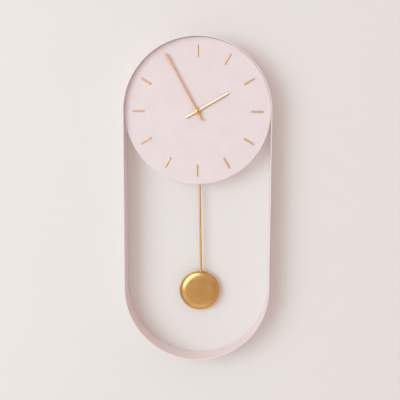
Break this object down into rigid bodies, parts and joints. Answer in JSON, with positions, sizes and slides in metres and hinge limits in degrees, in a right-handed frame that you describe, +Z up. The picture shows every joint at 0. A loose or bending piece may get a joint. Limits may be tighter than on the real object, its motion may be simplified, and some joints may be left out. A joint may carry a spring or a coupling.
{
  "type": "pendulum wall clock",
  "caption": "Capsule-shaped wall clock: a deep narrow metal band around a round dial with baton markers and two hands, open below with a swinging rod and disc bob.",
  "frame": {"origin": "the point where the wall screw carries the clock, on the wall plane", "axes": "+Z up, +Y into the wall, front towards -Y, +X to the right seen from the front"},
  "size_m": [0.25, 0.042, 0.5548],
  "materials": {
    "powder_coat_rose": "fine satin powder coat",
    "dial_rose": "matt powder coat",
    "rose_gold_satin": "satin plated",
    "cap_brass": "polished",
    "bob_brass": "brushed and lacquered",
    "turned_brass": "turned",
    "zinc_steel": "zinc plated",
    "case_plastic": "moulded, fine texture",
    "gear_plastic": "moulded acetal",
    "black_rubber": "matt",
    "copper_winding": "enamelled wire",
    "board_laminate": "solder mask",
    "chip_epoxy": "moulded epoxy",
    "nickel_steel": "nickel plated",
    "magnet_ferrite": "sintered",
    "battery_wrap": "printed film without any marks"
  },
  "bodies": {
    "clock": {"back_cover": "case_plastic", "battery_contact_minus": "nickel_steel", "battery_contact_plus": "nickel_steel", "circuit_board": "board_laminate", "clock_chip": "chip_epoxy", "cover_screws": "zinc_steel", "dial": "dial_rose", "dial_tab_left": "powder_coat_rose", "dial_tab_right": "powder_coat_rose", "dial_tab_upper_left": "powder_coat_rose", "dial_tab_upper_right": "powder_coat_rose", "drive_coil": "copper_winding", "fixing_nut": "turned_brass", "fixing_washer": "turned_brass", "frame_band": "powder_coat_rose", "hanger_plate": "powder_coat_rose", "hour_marker_01": "rose_gold_satin", "hour_marker_02": "rose_gold_satin", "hour_marker_03": "rose_gold_satin", "hour_marker_04": "rose_gold_satin", "hour_marker_05": "rose_gold_satin", "hour_marker_06": "rose_gold_satin", "hour_marker_07": "rose_gold_satin", "hour_marker_08": "rose_gold_satin", "hour_marker_09": "rose_gold_satin", "hour_marker_10": "rose_gold_satin", "hour_marker_11": "rose_gold_satin", "hour_marker_12": "rose_gold_satin", "movement_case": "case_plastic", "pendulum_pivot_pin": "zinc_steel", "quartz_crystal": "nickel_steel", "rubber_gasket": "black_rubber", "shaft_bushing": "turned_brass", "stator": "zinc_steel", "stepper_coil": "copper_winding", "train_plate": "gear_plastic"},
    "minute": {"cannon_pinion": "turned_brass", "minute_hand": "rose_gold_satin", "hand_nut": "cap_brass"},
    "hour": {"hour_wheel": "gear_plastic", "hour_hand": "rose_gold_satin", "hour_hand_ferrule": "turned_brass"},
    "setting": {"motion_wheel": "gear_plastic", "setting_knob": "case_plastic"},
    "centre": {"centre_wheel": "gear_plastic"},
    "third": {"third_wheel": "gear_plastic"},
    "seconds": {"seconds_wheel": "gear_plastic"},
    "intermediate": {"intermediate_wheel": "gear_plastic"},
    "rotor": {"rotor_pinion": "gear_plastic", "rotor_magnet": "magnet_ferrite"},
    "battery": {"battery": "battery_wrap"},
    "pendulum": {"pendulum_leaf": "case_plastic", "pendulum_magnet": "magnet_ferrite", "pendulum_rod": "bob_brass", "bob_front": "bob_brass", "bob_back": "bob_brass", "rod_clamp": "zinc_steel"}
  },
  "joints": [
    {"name": "minute_hand_turn", "type": "hinge", "parent": "clock", "child": "minute", "pos_m": [0, -0.037, -0.103], "axis": [0, 1, 0], "continuous": true},
    {"name": "hour_hand_turn", "type": "hinge", "parent": "clock", "child": "hour", "pos_m": [0, -0.036, -0.103], "axis": [0, 1, 0], "continuous": true},
    {"name": "setting_knob_turn", "type": "hinge", "parent": "clock", "child": "setting", "pos_m": [-0.012, -0.012, -0.103], "axis": [0, 1, 0], "continuous": true},
    {"name": "rotor_spin", "type": "hinge", "parent": "clock", "child": "rotor", "pos_m": [0.00817, -0.018, -0.11343], "axis": [0, 1, 0], "continuous": true},
    {"name": "intermediate_wheel_turn", "type": "hinge", "parent": "clock", "child": "intermediate", "pos_m": [0.00509, -0.019, -0.10809], "axis": [0, 1, 0], "continuous": true},
    {"name": "seconds_wheel_turn", "type": "hinge", "parent": "clock", "child": "seconds", "pos_m": [0, -0.02, -0.103], "axis": [0, 1, 0], "continuous": true},
    {"name": "third_wheel_turn", "type": "hinge", "parent": "clock", "child": "third", "pos_m": [0, -0.022, -0.0922], "axis": [0, 1, 0], "continuous": true},
    {"name": "centre_wheel_turn", "type": "hinge", "parent": "clock", "child": "centre", "pos_m": [0, -0.0237, -0.103], "axis": [0, 1, 0], "continuous": true},
    {"name": "pendulum_swing", "type": "hinge", "parent": "clock", "child": "pendulum", "pos_m": [0, -0.01, -0.083], "axis": [0, -1, 0], "range_deg": [-6.2, 3.8]},
    {"name": "battery_pull", "type": "slide", "parent": "clock", "child": "battery", "axis": [0, 1, 0], "range_m": [0, 0.03]}
  ],
  "couplings": [
    {"joint": "hour_hand_turn", "follows": "minute_hand_turn", "ratio": 0.083333},
    {"joint": "setting_knob_turn", "follows": "minute_hand_turn", "ratio": -0.33333},
    {"joint": "intermediate_wheel_turn", "follows": "rotor_spin", "ratio": -0.16667},
    {"joint": "seconds_wheel_turn", "follows": "rotor_spin", "ratio": 0.033333},
    {"joint": "third_wheel_turn", "follows": "rotor_spin", "ratio": -0.0044444},
    {"joint": "centre_wheel_turn", "follows": "rotor_spin", "ratio": 0.00055556}
  ]
}
